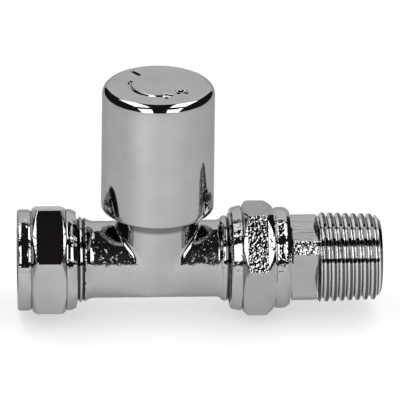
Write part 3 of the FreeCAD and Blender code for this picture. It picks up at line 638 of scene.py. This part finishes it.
def body_distance(points):
    """Rough distance from the cast body between its two collars: outside less the bores."""
    middle = (0.0, 0.0)
    inlet = (0.0, -INLET_PASSAGE_DROP)
    outlet = (0.0, OUTLET_PASSAGE_RISE)
    spindle = (SPINDLE_X, 0.0)
    over = BORE_OVERLAP
    bores = [
        bore_distance(points, PIPE_BORE, BODY_LOW[0], PIPE_STOP, 0, middle),
        bore_distance(points, PASSAGE_RADIUS, PIPE_STOP - over, INLET_PASSAGE_END, 0, inlet),
        bore_distance(points, SEAT_BORE, -INLET_PASSAGE_DROP, SEAT_HEIGHT + over, 2, spindle),
        bore_distance(points, CHAMBER_RADIUS, SEAT_HEIGHT, CHAMBER_TOP + over, 2, spindle),
        bore_distance(points, BONNET_BORE, CHAMBER_TOP, BODY_HIGH[2] + over, 2, spindle),
        bore_distance(points, PASSAGE_RADIUS, OUTLET_PASSAGE_START, OUTLET_BORE_START + over, 0, outlet),
        bore_distance(points, WATERWAY_RADIUS, OUTLET_BORE_START, BODY_HIGH[0], 0, middle),
    ]
    hollow = np.min(bores, axis=0)
    ends = np.maximum(INLET_CAST_START - points[..., 0], points[..., 0] - OUTLET_CAST_END)
    return np.maximum(np.maximum(outside_distance(points), -hollow), ends)


def surface_net(distance, low, high, step):
    """Points and quads of the surface where distance is zero, from a grid of cells.

    Each cell that the surface crosses gets one point, the mean of the crossings on its edges,
    and each grid edge that it crosses gets a quad between the four cells round that edge.
    """
    axes = [np.arange(start, stop + step, step) for start, stop in zip(low, high)]
    grid = np.stack(np.meshgrid(*axes, indexing="ij"), axis=-1)
    value = distance(grid)
    cells = tuple(size - 1 for size in value.shape)
    total = np.zeros(cells + (3,))
    count = np.zeros(cells, dtype=int)
    crossings = []
    for axis in range(3):
        first = np.take(value, range(cells[axis]), axis=axis)
        second = np.take(value, range(1, cells[axis] + 1), axis=axis)
        crosses = (first < 0) != (second < 0)
        share = np.where(crosses, first / np.where(crosses, first - second, 1.0), 0.0)
        place = np.take(grid, range(cells[axis]), axis=axis).copy()
        place[..., axis] += share * step
        place *= crosses[..., None]
        for shift_one in (0, 1):
            for shift_two in (0, 1):
                shifts = [shift_one, shift_two]
                shifts.insert(axis, 0)
                window = tuple(slice(shift, shift + size) for shift, size in zip(shifts, cells))
                total += place[window]
                count += crosses[window]
        crossings.append((crosses, first < 0))
    used = count > 0
    number = np.full(cells, -1)
    number[used] = np.arange(used.sum())
    points = total[used] / count[used][:, None]
    quads = []
    for axis, (crosses, starts_inside) in enumerate(crossings):
        one, two = [index for index in range(3) if index != axis]
        inner = [slice(None)] * 3
        inner[one] = slice(1, cells[one])
        inner[two] = slice(1, cells[two])
        at = np.argwhere(crosses[tuple(inner)])
        at[:, one] += 1
        at[:, two] += 1
        corners = []
        for back_one, back_two in ((1, 1), (0, 1), (0, 0), (1, 0)):
            cell = at.copy()
            cell[:, one] -= back_one
            cell[:, two] -= back_two
            corners.append(number[tuple(cell.T)])
        faces = np.stack(corners, axis=-1)
        outward = starts_inside[tuple(at.T)]
        if axis == 1:
            outward = ~outward
        faces[~outward] = faces[~outward][:, ::-1]
        quads.append(faces)
    return points, np.concatenate(quads)


def slope(distance, points):
    """Direction in which distance grows, by small differences."""
    reach = 0.02
    steps = np.eye(3) * reach
    rise = [distance(points + step) - distance(points - step) for step in steps]
    return np.stack(rise, axis=-1) / (2 * reach)


def settled(points):
    """Points of the net, moved in a few rounds onto the surface of the cast body."""
    rounds = 3
    least_slope = 0.25
    for _ in range(rounds):
        way = slope(body_distance, points)
        size = np.maximum(np.sum(way * way, axis=-1), least_slope)
        points = points - (body_distance(points) / size)[:, None] * way
    return points


def cast_noise(points, size):
    """Smooth lumps of about a size in millimetres, between -1 and 1."""
    return np.array([noise.noise(Vector(point / size)) for point in points])


def threaded_end(left, right, mouth, thread_root, collar, bore):
    """A threaded end of the body as closed rings: thread and collar along +X, then the bore back again."""
    angles = round_about(BODY_END_ANGLES)
    x_out = np.append(np.arange(left, right, PITCH / BODY_END_ROWS_PER_PITCH), right)
    from_mouth = np.abs(x_out - mouth)[:, None]
    thread = BODY_THREAD_RADIUS - THREAD_DEPTH * thread_drop(off_crest(x_out, angles, 0.0))
    lead = BODY_THREAD_RADIUS - BODY_LEAD_DROP + BODY_LEAD_SLOPE * from_mouth
    thread = smooth_min(thread, lead, LEAD_BLEND)
    plain = outline_radius(x_out, collar)[:, None]
    radius = np.where(from_mouth < abs(thread_root - mouth), thread, plain)
    x_in = np.linspace(right, left, BODY_END_BORE_ROWS)
    inner = np.repeat(outline_radius(x_in, bore)[:, None], len(angles), axis=1)
    points = np.concatenate([rings_along_x(x_out, radius, angles), rings_along_x(x_in, inner, angles)])
    faces = ring_faces(len(x_out) + len(x_in), len(angles), closed=True)
    # Painted shade in the collar valleys and thread roots, by radius.
    groove = np.concatenate([smooth_step(*COLLAR_PAINTED_SHADE_EDGE, radius), np.zeros(inner.shape)])
    return points.reshape(-1, 3), np.array(faces), groove.ravel()


def build_body():
    """The cast body: tube and neck run into each other, lumpy as cast, with a cut thread at each end."""
    margin = 0.7
    low = np.array([INLET_CAST_START, -COLLAR_RADIUS, -COLLAR_RADIUS]) - margin
    high = np.array([OUTLET_CAST_END, COLLAR_RADIUS, BODY_HIGH[2]]) + margin
    points, quads = surface_net(body_distance, low, high, BODY_STEP)
    points = settled(points)
    way = slope(outside_distance, points)
    least_length = 1e-6
    way /= np.maximum(np.linalg.norm(way, axis=-1), least_length)[:, None]
    outside = 1 - smooth_step(*OUTSIDE_EDGE, np.abs(outside_distance(points)))
    on_tube = smooth_step(*CAST_INLET_EDGE, points[:, 0])
    on_tube *= 1 - smooth_step(*CAST_OUTLET_EDGE, points[:, 0])
    rough = outside * on_tube * smooth_step(*CAST_NECK_EDGE, neck_distance(points))
    lumps = LUMP_HEIGHT * cast_noise(points, LUMP_SIZE)
    lumps += SMALL_LUMP_HEIGHT * cast_noise(points + SMALL_LUMP_SHIFT, SMALL_LUMP_SIZE)
    points = points + (rough * lumps)[:, None] * way
    height = points[:, 2]
    skin = rough * (1 - (1 - CAST_FINE_SHARE) * smooth_step(*CAST_FINE_EDGE, height))
    # Painted shade at the top of the neck, under the cap's rim.
    spigot_painted_shade = SPIGOT_PAINTED_SHADE * outside * smooth_step(*SPIGOT_PAINTED_SHADE_EDGE, height)
    inlet = BODY_LOW[0]
    outlet = BODY_HIGH[0]
    inlet_bore = [(inlet, OLIVE_CONE_RADIUS), (inlet + OLIVE_CONE_LENGTH, PIPE_BORE)]
    outlet_bore = [(outlet, WATERWAY_RADIUS)]
    inlet_points, inlet_faces, inlet_groove = threaded_end(
        inlet, INLET_CAST_START, inlet, INLET_THREAD_END, INLET_COLLAR, inlet_bore
    )
    outlet_points, outlet_faces, outlet_groove = threaded_end(
        OUTLET_CAST_END, outlet, outlet, OUTLET_THREAD_START, OUTLET_COLLAR, outlet_bore
    )
    inlet_faces += len(points)
    outlet_faces += len(points) + len(inlet_points)
    faces = np.concatenate([quads, inlet_faces, outlet_faces]).tolist()
    blank = np.zeros(len(inlet_points) + len(outlet_points))
    points = np.concatenate([points, inlet_points, outlet_points])
    make_piece(
        "cast_body", points, faces, "valve", "valve_body", THREADED_SHARP_DEGREES,
        cast=np.concatenate([skin, blank]),
        groove=np.concatenate([spigot_painted_shade, inlet_groove, outlet_groove]),
    )


# Materials


def new_material(name):
    """A new node material and its tree."""
    material = bpy.data.materials.new(name)
    material.use_nodes = True
    return material, material.node_tree


def add_node(tree, kind, sockets=None, **settings):
    """A node with its settings and its input sockets, each set to a value or linked to an output."""
    node = tree.nodes.new(kind)
    for name, value in settings.items():
        setattr(node, name, value)
    for name, value in (sockets or {}).items():
        if isinstance(value, bpy.types.NodeSocket):
            tree.links.new(value, node.inputs[name])
        else:
            node.inputs[name].default_value = value
    return node


def spread(tree, value, source, target):
    """A value carried from a source span to a target span; each end of the target may be an output."""
    sockets = {"Value": value}
    sockets["From Min"], sockets["From Max"] = source
    sockets["To Min"], sockets["To Max"] = target
    return add_node(tree, "ShaderNodeMapRange", sockets).outputs["Result"]


def noise_between(tree, place, scale, detail, target=(0.0, 1.0), edge=NOISE_EDGE):
    """A noise of a scale per metre; edge is the part of it that is carried to the target span."""
    grain = add_node(tree, "ShaderNodeTexNoise", {"Vector": place, "Scale": scale, "Detail": detail})
    return spread(tree, grain.outputs["Fac"], edge, target)


def mixed_colour(tree, share, first, second):
    """A colour between two, each a colour or an output, by a share from 0 to 1."""
    mix = add_node(tree, "ShaderNodeMix", {"Factor": share}, data_type="RGBA")
    sockets = [socket for socket in mix.inputs if socket.type == "RGBA"]
    for socket, colour in zip(sockets, (first, second)):
        if isinstance(colour, bpy.types.NodeSocket):
            tree.links.new(colour, socket)
        else:
            socket.default_value = (*colour, 1.0)
    return next(socket for socket in mix.outputs if socket.type == "RGBA")


def object_place(tree):
    """A point's place in its object, in metres."""
    return add_node(tree, "ShaderNodeTexCoord").outputs["Object"]


def stretched(tree, place, scale):
    """A place scaled along each axis."""
    return add_node(tree, "ShaderNodeMapping", {"Vector": place, "Scale": scale}).outputs["Vector"]


def attribute_value(tree, name):
    """A value that the mesh carries; 0 on a mesh without it."""
    return add_node(tree, "ShaderNodeAttribute", attribute_name=name).outputs["Fac"]


def maths(tree, operation, *values):
    """The result of a sum on values or outputs."""
    return add_node(tree, "ShaderNodeMath", dict(enumerate(values)), operation=operation).outputs["Value"]


def relief(tree, height, distance, below=None):
    """A bump of a distance in metres, on top of another bump if there is one."""
    sockets = {"Height": height, "Strength": 1.0, "Distance": distance}
    if below:
        sockets["Normal"] = below
    return add_node(tree, "ShaderNodeBump", sockets).outputs["Normal"]


def chrome_plate():
    """Bright plating with faint smudges and ripples.

    Values that the mesh carries add a painted highlight on the turned flanks, painted shade in thread roots,
    collar valleys and under the cap, a painted dark reflection on thread crests, pebbles, pits,
    milling lines and cast skin.
    """
    material, tree = new_material("chrome_plate_bright")
    place = object_place(tree)
    shader = tree.nodes["Principled BSDF"]
    shader.inputs["Metallic"].default_value = 1.0
    shader.inputs["Specular Tint"].default_value = GLANCING_TINT
    smudge = noise_between(tree, place, SMUDGE_SCALE, detail=3.0)
    colour = mixed_colour(tree, smudge, PLATE_DARK, PLATE_LIGHT)
    # Painted highlight: the thread's turned flanks are made near white.
    colour = mixed_colour(tree, attribute_value(tree, "turned"), colour, FLANK_HIGHLIGHT_COLOUR)
    # Painted shade: thread crests and roots, collar valleys and the neck under the cap are darkened towards
    # black.
    colour = mixed_colour(tree, attribute_value(tree, "groove"), colour, PAINTED_SHADE_COLOUR)
    tree.links.new(colour, shader.inputs["Base Color"])
    gloss = noise_between(tree, place, GLOSS_SCALE, detail=2.0, target=GLOSS_SPAN)
    roughness = spread(tree, attribute_value(tree, "cast"), (0.0, 1.0), (gloss, CAST_ROUGHNESS))
    tree.links.new(roughness, shader.inputs["Roughness"])
    pebble = noise_between(tree, place, PEBBLE_SCALE, detail=1.0)
    pit = noise_between(tree, place, PIT_SCALE, detail=0.5, edge=PIT_EDGE)
    speck = noise_between(tree, place, SPECK_SCALE, detail=0.5, edge=SPECK_EDGE)
    milling = noise_between(tree, stretched(tree, place, MILLING_STRETCH), MILLING_SCALE, detail=2.0)
    lathe = noise_between(tree, stretched(tree, place, LATHE_STRETCH), LATHE_SCALE, detail=0.0)
    reliefs = [
        (pebble, "pebbles", PEBBLE_DEPTH),
        (lathe, "turned", LATHE_DEPTH),
        (pit, "pits", PIT_DEPTH),
        (milling, "milled", MILLING_DEPTH),
        (pebble, "cast", CAST_PEBBLE_DEPTH),
        (speck, "cast", SPECK_DEPTH),
    ]
    bumps = None
    for height, attribute, depth in reliefs:
        raised = maths(tree, "MULTIPLY", height, attribute_value(tree, attribute))
        bumps = relief(tree, raised, depth, bumps)
    ripple = noise_between(tree, place, RIPPLE_SCALE, detail=1.0)
    bumps = relief(tree, ripple, RIPPLE_DEPTH, bumps)
    tree.links.new(bumps, shader.inputs["Normal"])
    return material


def grained(name, dark, light, roughness, grain, depth, metallic):
    """Turned metal, rubber, fibre or plastic: colour and gloss vary in fine grain, with a slight relief."""
    material, tree = new_material(name)
    place = object_place(tree)
    shader = tree.nodes["Principled BSDF"]
    shader.inputs["Metallic"].default_value = metallic
    mottle = noise_between(tree, place, grain / 4, detail=4.0)
    tree.links.new(mixed_colour(tree, mottle, dark, light), shader.inputs["Base Color"])
    gloss = noise_between(tree, place, grain, detail=3.0, target=roughness)
    tree.links.new(gloss, shader.inputs["Roughness"])
    ridges = noise_between(tree, place, grain * 2, detail=2.0)
    tree.links.new(relief(tree, ridges, depth), shader.inputs["Normal"])
    return material


chrome = chrome_plate()
SLOT_MATERIALS = {
    "chrome_plate": chrome,
    "brass": grained(
        "turned_brass", (0.60, 0.42, 0.17), (0.74, 0.56, 0.27),
        roughness=(0.22, 0.38), grain=900.0, depth=0.00001, metallic=1.0,
    ),
    "zinc_steel": grained(
        "zinc_steel", (0.50, 0.51, 0.52), (0.64, 0.65, 0.66),
        roughness=(0.28, 0.45), grain=1200.0, depth=0.00001, metallic=1.0,
    ),
    "rubber": grained(
        "black_rubber", (0.018, 0.018, 0.019), (0.035, 0.035, 0.036),
        roughness=(0.55, 0.75), grain=1500.0, depth=0.00002, metallic=0.0,
    ),
    "fibre": grained(
        "red_fibre", (0.24, 0.06, 0.035), (0.40, 0.12, 0.07),
        roughness=(0.6, 0.85), grain=1400.0, depth=0.00003, metallic=0.0,
    ),
    "ptfe": grained(
        "packing_ptfe", (0.74, 0.74, 0.71), (0.82, 0.82, 0.80),
        roughness=(0.4, 0.6), grain=800.0, depth=0.00001, metallic=0.0,
    ),
    "nylon": grained(
        "black_nylon", (0.045, 0.045, 0.05), (0.07, 0.07, 0.075),
        roughness=(0.35, 0.5), grain=1100.0, depth=0.00001, metallic=0.0,
    ),
}
for subpart in frame["record"]["subparts"]:
    node_mesh = frame["nodes"][subpart["node"]].data
    node_mesh.materials.clear()
    node_mesh.materials.append(SLOT_MATERIALS[subpart["material_slot"]])

build_body()
build_pipe_nut()
build_union_nut()
build_tail()
build_cap()


# Studio


def glow(name, colour, strength):
    """A plain glowing surface."""
    material, tree = new_material(name)
    tree.nodes.clear()
    light = add_node(tree, "ShaderNodeEmission", {"Color": (*colour, 1.0), "Strength": strength})
    output = add_node(tree, "ShaderNodeOutputMaterial")
    tree.links.new(light.outputs["Emission"], output.inputs["Surface"])
    return material


def studio_card(name, over, across, distance, material, lights=False):
    """A curved card round the object, in degrees: over from front to back, across from left to right."""
    rows = 24
    columns = 24
    height = 0.01
    lift = np.radians(np.linspace(*over, rows))[:, None]
    side = np.radians(np.linspace(*across, columns))[None, :]
    directions = np.stack(np.broadcast_arrays(
        np.sin(side), -np.cos(side) * np.cos(lift), np.cos(side) * np.sin(lift)
    ), axis=-1).reshape(-1, 3)
    centre = np.array([SPINDLE_X * MM, 0.0, height])
    index = np.arange(rows * columns).reshape(rows, columns)
    quads = np.stack([index[:-1, :-1], index[:-1, 1:], index[1:, 1:], index[1:, :-1]], axis=-1)
    mesh = bpy.data.meshes.new(name)
    mesh.from_pydata((centre + distance * directions).tolist(), [], quads.reshape(-1, 4).tolist())
    mesh.materials.append(material)
    card = bpy.data.objects.new(name, mesh)
    bpy.context.scene.collection.objects.link(card)
    card.visible_camera = False
    card.visible_shadow = False
    card.visible_diffuse = lights


def make_cards():
    """Dark flags in front and at the back corners, near softboxes on both sides and a grey back."""
    far = 1.6
    near = 0.26
    side = 89.0
    flag_top = 121.0
    back_left = -23.0
    back_right = 35.0
    back_foot = 166.0
    black = glow("black_card", (0.016, 0.013, 0.013), 1.0)
    grey = glow("grey_card", (0.84, 0.84, 0.84), 1.0)
    low_grey = glow("low_grey_card", (0.68, 0.68, 0.68), 1.0)
    softbox = glow("softbox", (1.0, 1.0, 1.0), 2.8)
    studio_card("front_flag", (7.0, flag_top), (-side, side), far, black)
    studio_card("back_card", (flag_top, back_foot), (back_left, back_right), far, grey)
    studio_card("low_back_card", (back_foot, 181.0), (back_left, back_right), far, low_grey)
    studio_card("left_back_flag", (flag_top, 179.0), (-side, back_left), far, black)
    studio_card("right_back_flag", (flag_top, 179.0), (back_right, side), far, black)
    studio_card("low_box_left", (15.0, 56.0), (-34.0, -12.0), near, softbox, lights=True)
    studio_card("low_box_right", (18.5, 52.0), (12.4, 29.0), near, softbox, lights=True)
    studio_card("low_box_far_right", (15.0, 60.0), (29.0, 36.0), near, softbox, lights=True)
    studio_card("high_box_left", (75.0, 116.0), (-32.0, -11.0), near, softbox, lights=True)
    studio_card("high_box_right", (74.0, 112.0), (12.4, 36.0), near, softbox, lights=True)


def floor_tone(tree):
    """Tone of the floor in mirror rays, painted light and shade: by direction from the spindle, and a
    painted shadow a little darker close by.
    """
    back_tone = 0.66
    painted_shadow_tone = 0.9
    painted_shadow_span = (0.06, 0.1)
    warmth = 0.985
    # Painted light and shade in mirror rays: the floor's tone by direction from the spindle.
    tones = [
        (-180, back_tone), (-75, back_tone), (-28, 1.0), (8, 0.86), (60, 0.75),
        (95, back_tone), (180, back_tone),
    ]
    place = add_node(tree, "ShaderNodeNewGeometry").outputs["Position"]
    shift = {0: place, 1: (-SPINDLE_X * MM, 0.0, 0.0)}
    offset = add_node(tree, "ShaderNodeVectorMath", shift, operation="ADD").outputs["Vector"]
    parts = add_node(tree, "ShaderNodeSeparateXYZ", {"Vector": offset})
    forward = maths(tree, "MULTIPLY", parts.outputs["Y"], -1.0)
    angle = maths(tree, "ARCTAN2", parts.outputs["X"], forward)
    round_share = spread(tree, angle, (-math.pi, math.pi), (0.0, 1.0))
    ramp = add_node(tree, "ShaderNodeValToRGB", {"Fac": round_share})
    ramp.color_ramp.interpolation = "EASE"
    while len(ramp.color_ramp.elements) < len(tones):
        ramp.color_ramp.elements.new(0.5)
    for element, (degrees, level) in zip(ramp.color_ramp.elements, tones):
        element.position = 0.5 + degrees / 360
        element.color = (level, level, level * warmth, 1.0)
    # Painted shadow in mirror rays: the floor is darker behind the spindle and up to 6 cm in front of it,
    # fading out by 10 cm.
    painted_shadow_share = spread(tree, forward, painted_shadow_span, (painted_shadow_tone, 1.0))
    return mixed_colour(tree, painted_shadow_share, (0.0, 0.0, 0.0), ramp.outputs["Color"])


def make_floor():
    """A pale floor under the nuts, white to the camera, with a light shadow and painted light and shade in
    mirror rays.
    """
    pale = (0.84, 0.84, 0.83)
    white = (1.0, 1.0, 1.0)
    mirror_glow = 0.7
    camera_glow = 0.5
    reach = 4.0
    gap = 0.02 * MM
    material, tree = new_material("pale_floor")
    shader = tree.nodes["Principled BSDF"]
    shader.inputs["Roughness"].default_value = 1.0
    shader.inputs["Specular IOR Level"].default_value = 0.0
    path = add_node(tree, "ShaderNodeLightPath")
    to_camera = path.outputs["Is Camera Ray"]
    tree.links.new(mixed_colour(tree, to_camera, pale, white), shader.inputs["Base Color"])
    tone = mixed_colour(tree, to_camera, floor_tone(tree), white)
    plain = add_node(tree, "ShaderNodeEmission", {"Color": tone, "Strength": 1.0})
    camera_share = maths(tree, "MULTIPLY", to_camera, camera_glow)
    share = maths(tree, "MULTIPLY_ADD", path.outputs["Is Glossy Ray"], mirror_glow, camera_share)
    layers = {0: share, 1: shader.outputs["BSDF"], 2: plain.outputs["Emission"]}
    mix = add_node(tree, "ShaderNodeMixShader", layers)
    tree.links.new(mix.outputs["Shader"], tree.nodes["Material Output"].inputs["Surface"])
    level = cad_box[0][2] - gap
    corners = [
        (-reach, -reach, level), (reach, -reach, level), (reach, reach, level), (-reach, reach, level),
    ]
    mesh = bpy.data.meshes.new("floor")
    mesh.from_pydata(corners, [], [(0, 1, 2, 3)])
    mesh.materials.append(material)
    floor = bpy.data.objects.new("floor", mesh)
    bpy.context.scene.collection.objects.link(floor)


def make_world():
    """A white room: full white to camera and mirror rays, a little less as light."""
    light_level = 0.85
    world = bpy.data.worlds.new("white_room")
    world.use_nodes = True
    tree = world.node_tree
    background = tree.nodes["Background"]
    background.inputs["Color"].default_value = (1.0, 1.0, 1.0, 1.0)
    path = add_node(tree, "ShaderNodeLightPath")
    strength = spread(tree, path.outputs["Is Diffuse Ray"], (0.0, 1.0), (1.0, light_level))
    tree.links.new(strength, background.inputs["Strength"])
    bpy.context.scene.world = world


def make_camera():
    """The photograph's view: a long lens, a little above and to the left of square on."""
    back = Vector((
        math.sin(CAMERA_AZIMUTH) * math.cos(CAMERA_ELEVATION),
        -math.cos(CAMERA_AZIMUTH) * math.cos(CAMERA_ELEVATION),
        math.sin(CAMERA_ELEVATION),
    ))
    level = Vector((math.cos(CAMERA_AZIMUTH), math.sin(CAMERA_AZIMUTH), 0.0))
    upright = back.cross(level)
    right = level * math.cos(CAMERA_ROLL) + upright * math.sin(CAMERA_ROLL)
    up = back.cross(right)
    data = bpy.data.cameras.new("camera")
    data.sensor_width = SENSOR_WIDTH
    data.lens = SENSOR_WIDTH * PIXELS_PER_METRE * CAMERA_DISTANCE / IMAGE_PIXELS
    camera = bpy.data.objects.new("camera", data)
    place = CAMERA_TARGET + back * CAMERA_DISTANCE
    camera.matrix_world = Matrix((
        (right.x, up.x, back.x, place.x),
        (right.y, up.y, back.y, place.y),
        (right.z, up.z, back.z, place.z),
        (0.0, 0.0, 0.0, 1.0),
    ))
    bpy.context.scene.collection.objects.link(camera)
    bpy.context.scene.camera = camera


make_cards()
make_floor()
make_world()
make_camera()
bpy.context.scene.view_settings.view_transform = "Standard"
